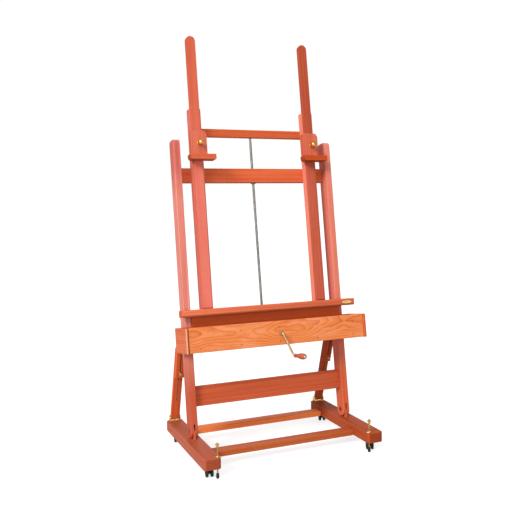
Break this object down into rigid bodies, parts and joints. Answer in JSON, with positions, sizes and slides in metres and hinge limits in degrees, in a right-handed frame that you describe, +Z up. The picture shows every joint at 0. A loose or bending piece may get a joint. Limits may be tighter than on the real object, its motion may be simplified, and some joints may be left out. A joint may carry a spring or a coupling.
{
  "type": "artist easel",
  "caption": "Wooden studio easel on castors: a tilting post frame carries a crank-lifted double mast with a paint box, a canvas shelf and sliding clamps.",
  "frame": {"origin": "on the floor under the middle of the base, halfway between its sides and its ends", "axes": "+X to the right as seen from the front, -Y to the front where the crank is, +Z up"},
  "size_m": [0.6938, 0.45, 1.4934],
  "materials": {
    "beech": "oiled reddish beech, semi-gloss",
    "beech_red": "oiled orange-red beech, semi-gloss",
    "box_front_board": "oiled light board with cathedral grain",
    "shaded_board": "oiled dark board",
    "brass": "satin",
    "steel": "satin",
    "black_plastic": "satin",
    "black_rubber": "matt"
  },
  "bodies": {
    "base": {"side_rail_left": "beech", "side_rail_right": "beech", "cross_rail_front": "beech_red", "cross_rail_rear": "beech_red", "pivot_tongue_left": "beech_red", "pivot_tongue_right": "beech_red", "stay_bracket_left": "brass", "stay_bracket_right": "brass", "level_nut_left": "brass", "level_nut_right": "brass"},
    "frame": {"post_left": "beech", "post_right": "beech", "upper_rail": "beech_red", "lower_rail": "beech_red", "spindle_nut": "brass", "pivot_bolt_left": "steel", "pivot_bolt_right": "steel", "stay_lug_left": "brass", "stay_lug_right": "brass"},
    "carriage": {"box_front": "box_front_board", "box_back": "shaded_board", "box_bottom": "beech", "box_side_left": "beech", "box_side_right": "beech", "apron": "shaded_board", "canvas_shelf": "beech_red", "shelf_plate": "brass", "mast_left": "beech", "mast_right": "beech", "crossbar": "beech_red", "gearbox": "steel"},
    "spindle": {"spindle": "steel"},
    "crank": {"crank": "steel"},
    "crank_grip": {"crank_grip": "beech"},
    "extension_left": {"mast_extension_left": "beech"},
    "clamp_left": {"clamp_block_left": "beech", "clamp_jaw_left": "beech_red"},
    "clamp_knob_left": {"clamp_knob_left": "brass"},
    "stay_lower_left": {"stay_lower_left": "beech_red"},
    "stay_upper_left": {"stay_upper_left": "beech_red"},
    "stay_knob_left": {"stay_knob_left": "brass"},
    "level_foot_left": {"level_foot_left": "black_rubber"},
    "level_screw_left": {"level_screw_left": "brass"},
    "extension_right": {"mast_extension_right": "beech"},
    "clamp_right": {"clamp_block_right": "beech", "clamp_jaw_right": "beech_red"},
    "clamp_knob_right": {"clamp_knob_right": "brass"},
    "stay_lower_right": {"stay_lower_right": "beech_red"},
    "stay_upper_right": {"stay_upper_right": "beech_red"},
    "stay_knob_right": {"stay_knob_right": "brass"},
    "level_foot_right": {"level_foot_right": "black_rubber"},
    "level_screw_right": {"level_screw_right": "brass"},
    "castor_fork_front_left": {"castor_fork_front_left": "black_plastic"},
    "castor_wheels_front_left": {"castor_wheels_front_left": "black_plastic"},
    "castor_fork_front_right": {"castor_fork_front_right": "black_plastic"},
    "castor_wheels_front_right": {"castor_wheels_front_right": "black_plastic"},
    "castor_fork_rear_left": {"castor_fork_rear_left": "black_plastic"},
    "castor_wheels_rear_left": {"castor_wheels_rear_left": "black_plastic"},
    "castor_fork_rear_right": {"castor_fork_rear_right": "black_plastic"},
    "castor_wheels_rear_right": {"castor_wheels_rear_right": "black_plastic"}
  },
  "joints": [
    {"name": "frame_tilt", "type": "hinge", "parent": "base", "child": "frame", "pos_m": [0, -0.0022, 0.09789], "axis": [-1, 0, 0], "range_deg": [-8.5, 7]},
    {"name": "carriage_lift", "type": "slide", "parent": "frame", "child": "carriage", "axis": [0, 0.1478, 0.989], "range_m": [-0.11, 0.5]},
    {"name": "spindle_turn", "type": "hinge", "parent": "carriage", "child": "spindle", "pos_m": [0, 0.1131, 0.75709], "axis": [0, 0.1478, 0.989], "range_deg": [-3965, 18005.01]},
    {"name": "crank_turn", "type": "hinge", "parent": "carriage", "child": "crank", "pos_m": [0, -0.08921, 0.43243], "axis": [0, -0.989, 0.1478], "range_deg": [-18005.01, 3965]},
    {"name": "grip_spin", "type": "hinge", "parent": "crank", "child": "crank_grip", "pos_m": [0.036, -0.16809, 0.3613], "axis": [0, -0.989, 0.1478], "continuous": true},
    {"name": "extension_lift_left", "type": "slide", "parent": "carriage", "child": "extension_left", "axis": [0, 0.1478, 0.989], "range_m": [0, 0.45]},
    {"name": "clamp_lift_left", "type": "slide", "parent": "carriage", "child": "clamp_left", "axis": [0, 0.1478, 0.989], "range_m": [-0.45, 0.08]},
    {"name": "clamp_knob_turn_left", "type": "hinge", "parent": "clamp_left", "child": "clamp_knob_left", "pos_m": [-0.2236, 0.09205, 1.10401], "axis": [0, -0.989, 0.1478], "range_deg": [0, 720]},
    {"name": "stay_foot_left", "type": "hinge", "parent": "base", "child": "stay_lower_left", "pos_m": [-0.305, 0.2105, 0.084], "axis": [-1, 0, 0], "range_deg": [-7.1, 5.94]},
    {"name": "stay_head_left", "type": "hinge", "parent": "frame", "child": "stay_upper_left", "pos_m": [-0.305, 0.08945, 0.41685], "axis": [-1, 0, 0], "range_deg": [-2.06, 2.4]},
    {"name": "stay_knob_turn_left", "type": "hinge", "parent": "stay_upper_left", "child": "stay_knob_left", "pos_m": [-0.305, 0.13482, 0.27387], "axis": [0, -0.9532, -0.3025], "range_deg": [0, 720]},
    {"name": "level_lift_left", "type": "slide", "parent": "base", "child": "level_foot_left", "axis": [0, 0, 1], "range_m": [0, 0.012]},
    {"name": "level_turn_left", "type": "hinge", "parent": "level_foot_left", "child": "level_screw_left", "pos_m": [-0.2855, -0.213, 0.05], "axis": [0, 0, 1], "range_deg": [-2, 3458]},
    {"name": "extension_lift_right", "type": "slide", "parent": "carriage", "child": "extension_right", "axis": [0, 0.1478, 0.989], "range_m": [0, 0.45]},
    {"name": "clamp_lift_right", "type": "slide", "parent": "carriage", "child": "clamp_right", "axis": [0, 0.1478, 0.989], "range_m": [-0.45, 0.08]},
    {"name": "clamp_knob_turn_right", "type": "hinge", "parent": "clamp_right", "child": "clamp_knob_right", "pos_m": [0.2236, 0.09205, 1.10401], "axis": [0, -0.989, 0.1478], "range_deg": [0, 720]},
    {"name": "stay_foot_right", "type": "hinge", "parent": "base", "child": "stay_lower_right", "pos_m": [0.305, 0.2105, 0.084], "axis": [-1, 0, 0], "range_deg": [-7.1, 5.94]},
    {"name": "stay_head_right", "type": "hinge", "parent": "frame", "child": "stay_upper_right", "pos_m": [0.305, 0.08945, 0.41685], "axis": [-1, 0, 0], "range_deg": [-2.06, 2.4]},
    {"name": "stay_knob_turn_right", "type": "hinge", "parent": "stay_upper_right", "child": "stay_knob_right", "pos_m": [0.305, 0.13482, 0.27387], "axis": [0, -0.9532, -0.3025], "range_deg": [0, 720]},
    {"name": "level_lift_right", "type": "slide", "parent": "base", "child": "level_foot_right", "axis": [0, 0, 1], "range_m": [0, 0.012]},
    {"name": "level_turn_right", "type": "hinge", "parent": "level_foot_right", "child": "level_screw_right", "pos_m": [0.2855, -0.213, 0.05], "axis": [0, 0, 1], "range_deg": [-2, 3458]},
    {"name": "castor_swivel_front_left", "type": "hinge", "parent": "base", "child": "castor_fork_front_left", "pos_m": [-0.305, -0.182, 0.02], "axis": [0, 0, 1], "continuous": true},
    {"name": "castor_roll_front_left", "type": "hinge", "parent": "castor_fork_front_left", "child": "castor_wheels_front_left", "pos_m": [-0.30625, -0.1899, 0.0145], "axis": [0.9877, -0.1564, 0], "continuous": true},
    {"name": "castor_swivel_front_right", "type": "hinge", "parent": "base", "child": "castor_fork_front_right", "pos_m": [0.305, -0.182, 0.02], "axis": [0, 0, 1], "continuous": true},
    {"name": "castor_roll_front_right", "type": "hinge", "parent": "castor_fork_front_right", "child": "castor_wheels_front_right", "pos_m": [0.302, -0.18942, 0.0145], "axis": [0.9272, -0.3746, 0], "continuous": true},
    {"name": "castor_swivel_rear_left", "type": "hinge", "parent": "base", "child": "castor_fork_rear_left", "pos_m": [-0.305, 0.182, 0.02], "axis": [0, 0, 1], "continuous": true},
    {"name": "castor_roll_rear_left", "type": "hinge", "parent": "castor_fork_rear_left", "child": "castor_wheels_rear_left", "pos_m": [-0.30611, 0.17408, 0.0145], "axis": [0.9903, -0.1392, 0], "continuous": true},
    {"name": "castor_swivel_rear_right", "type": "hinge", "parent": "base", "child": "castor_fork_rear_right", "pos_m": [0.305, 0.182, 0.02], "axis": [0, 0, 1], "continuous": true},
    {"name": "castor_roll_rear_right", "type": "hinge", "parent": "castor_fork_rear_right", "child": "castor_wheels_rear_right", "pos_m": [0.30253, 0.17439, 0.0145], "axis": [0.9511, -0.309, 0], "continuous": true}
  ],
  "couplings": [
    {"joint": "spindle_turn", "follows": "carriage_lift", "rad_per_m": 628.32},
    {"joint": "crank_turn", "follows": "carriage_lift", "rad_per_m": -628.32},
    {"joint": "stay_foot_left", "follows": "frame_tilt", "ratio": 0.777},
    {"joint": "stay_head_left", "follows": "frame_tilt", "ratio": -0.223},
    {"joint": "level_turn_left", "follows": "level_lift_left", "rad_per_m": 5026.6},
    {"joint": "stay_foot_right", "follows": "frame_tilt", "ratio": 0.777},
    {"joint": "stay_head_right", "follows": "frame_tilt", "ratio": -0.223},
    {"joint": "level_turn_right", "follows": "level_lift_right", "rad_per_m": 5026.6}
  ]
}
